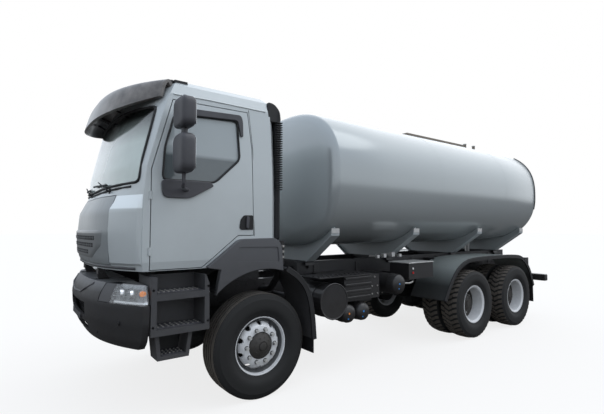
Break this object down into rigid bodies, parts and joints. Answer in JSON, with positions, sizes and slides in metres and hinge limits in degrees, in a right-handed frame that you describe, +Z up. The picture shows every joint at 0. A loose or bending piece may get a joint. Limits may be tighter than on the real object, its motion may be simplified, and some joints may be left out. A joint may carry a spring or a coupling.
{
  "type": "tanker truck",
  "caption": "A six-wheeled forward-control tanker truck with a silver tilting cab, twin rear axles and a rounded box-section tank on saddles",
  "frame": {"origin": "centre of the truck's bounding box in plan, on the ground", "axes": "+Z up, the cab faces -Y, the truck's left side is +X"},
  "size_m": [3.13, 8.32, 3.48],
  "materials": {
    "cabin_trim": "matte",
    "cast_iron": "rough",
    "chassis_black": "satin",
    "galvanised": "satin",
    "glass": "clear",
    "grey_plastic": "matte",
    "lamp": "gloss",
    "rim_silver": "satin",
    "rubber": "matte",
    "silver_paint": "satin",
    "smoked": "gloss",
    "tank_paint": "gloss"
  },
  "bodies": {
    "chassis": {"chassis_frame": "chassis_black", "subframe": "chassis_black", "tank": "tank_paint", "tank_coaming": "galvanised", "ladder": "galvanised", "outlet_pipe": "galvanised", "rear_underrun": "chassis_black", "front_bumper": "grey_plastic", "headlamp_left": "lamp", "headlamp_right": "lamp", "step_module_left": "grey_plastic", "step_module_right": "grey_plastic", "front_mudguard_left": "grey_plastic", "front_mudguard_right": "grey_plastic", "rear_mudguard_left": "tank_paint", "rear_mudguard_right": "tank_paint", "silencer": "chassis_black", "battery_box": "chassis_black", "air_reservoirs": "chassis_black", "control_box": "chassis_black", "fuel_tank": "chassis_black", "engine": "cast_iron", "front_axle": "cast_iron", "rear_bogie": "cast_iron"},
    "cab": {"cab_shell": "silver_paint", "windscreen": "glass", "wing_left": "grey_plastic", "wing_right": "grey_plastic", "sun_visor": "smoked", "seats": "cabin_trim", "dashboard": "cabin_trim", "air_intake": "grey_plastic"},
    "front_flap": {"front_panel": "silver_paint"},
    "left_door": {"door_left": "silver_paint", "door_glass_left": "glass", "mirror_left": "grey_plastic"},
    "right_door": {"door_right": "silver_paint", "door_glass_right": "glass", "mirror_right": "grey_plastic"},
    "left_steering": {"knuckle_left": "cast_iron"},
    "right_steering": {"knuckle_right": "cast_iron"},
    "steering_link": {"tie_rod": "cast_iron"},
    "front_wheel_left": {"front_tyre_left": "rubber", "front_rim_left": "rim_silver"},
    "front_wheel_right": {"front_tyre_right": "rubber", "front_rim_right": "rim_silver"},
    "tank_lid": {"manhole_lid": "galvanised"},
    "twin_wheel_front_left": {"outer_tyre_front_left": "rubber", "inner_tyre_front_left": "rubber", "twin_rims_front_left": "rim_silver"},
    "twin_wheel_front_right": {"outer_tyre_front_right": "rubber", "inner_tyre_front_right": "rubber", "twin_rims_front_right": "rim_silver"},
    "twin_wheel_rear_left": {"outer_tyre_rear_left": "rubber", "inner_tyre_rear_left": "rubber", "twin_rims_rear_left": "rim_silver"},
    "twin_wheel_rear_right": {"outer_tyre_rear_right": "rubber", "inner_tyre_rear_right": "rubber", "twin_rims_rear_right": "rim_silver"}
  },
  "joints": [
    {"name": "cab_tilt", "type": "hinge", "parent": "chassis", "child": "cab", "pos_m": [0, -3.995, 1.34], "axis": [1, 0, 0], "range_deg": [0, 60]},
    {"name": "front_flap_hinge", "type": "hinge", "parent": "cab", "child": "front_flap", "pos_m": [0, -4.045, 2.066], "axis": [-1, 0, 0], "range_deg": [0, 80]},
    {"name": "left_door_hinge", "type": "hinge", "parent": "cab", "child": "left_door", "pos_m": [1.175, -3.745, 2], "axis": [0, 0, -1], "range_deg": [0, 75]},
    {"name": "right_door_hinge", "type": "hinge", "parent": "cab", "child": "right_door", "pos_m": [-1.175, -3.745, 2], "axis": [0, 0, 1], "range_deg": [0, 75]},
    {"name": "steer_left", "type": "hinge", "parent": "chassis", "child": "left_steering", "pos_m": [0.84, -2.59, 0.54034], "axis": [0, 0, 1], "range_deg": [-38, 38]},
    {"name": "steer_right", "type": "hinge", "parent": "chassis", "child": "right_steering", "pos_m": [-0.84, -2.59, 0.54034], "axis": [0, 0, 1], "range_deg": [-38, 38]},
    {"name": "steering_link_pin", "type": "hinge", "parent": "left_steering", "child": "steering_link", "pos_m": [0.84, -2.43, 0.4], "axis": [0, 0, 1], "range_deg": [-38, 38]},
    {"name": "front_wheel_spin_left", "type": "hinge", "parent": "left_steering", "child": "front_wheel_left", "pos_m": [1.03, -2.59, 0.54034], "axis": [1, 0, 0], "continuous": true},
    {"name": "front_wheel_spin_right", "type": "hinge", "parent": "right_steering", "child": "front_wheel_right", "pos_m": [-1.03, -2.59, 0.54034], "axis": [1, 0, 0], "continuous": true},
    {"name": "tank_lid_hinge", "type": "hinge", "parent": "chassis", "child": "tank_lid", "pos_m": [-0.315, 1.56, 3.444], "axis": [0, -1, 0], "range_deg": [0, 100]},
    {"name": "twin_wheel_spin_front_left", "type": "hinge", "parent": "chassis", "child": "twin_wheel_front_left", "pos_m": [0.92, 1.36, 0.54034], "axis": [1, 0, 0], "continuous": true},
    {"name": "twin_wheel_spin_front_right", "type": "hinge", "parent": "chassis", "child": "twin_wheel_front_right", "pos_m": [-0.92, 1.36, 0.54034], "axis": [1, 0, 0], "continuous": true},
    {"name": "twin_wheel_spin_rear_left", "type": "hinge", "parent": "chassis", "child": "twin_wheel_rear_left", "pos_m": [0.92, 2.73, 0.54034], "axis": [1, 0, 0], "continuous": true},
    {"name": "twin_wheel_spin_rear_right", "type": "hinge", "parent": "chassis", "child": "twin_wheel_rear_right", "pos_m": [-0.92, 2.73, 0.54034], "axis": [1, 0, 0], "continuous": true}
  ],
  "couplings": [
    {"joint": "steer_right", "follows": "steer_left", "ratio": 1},
    {"joint": "steering_link_pin", "follows": "steer_left", "ratio": -1}
  ]
}
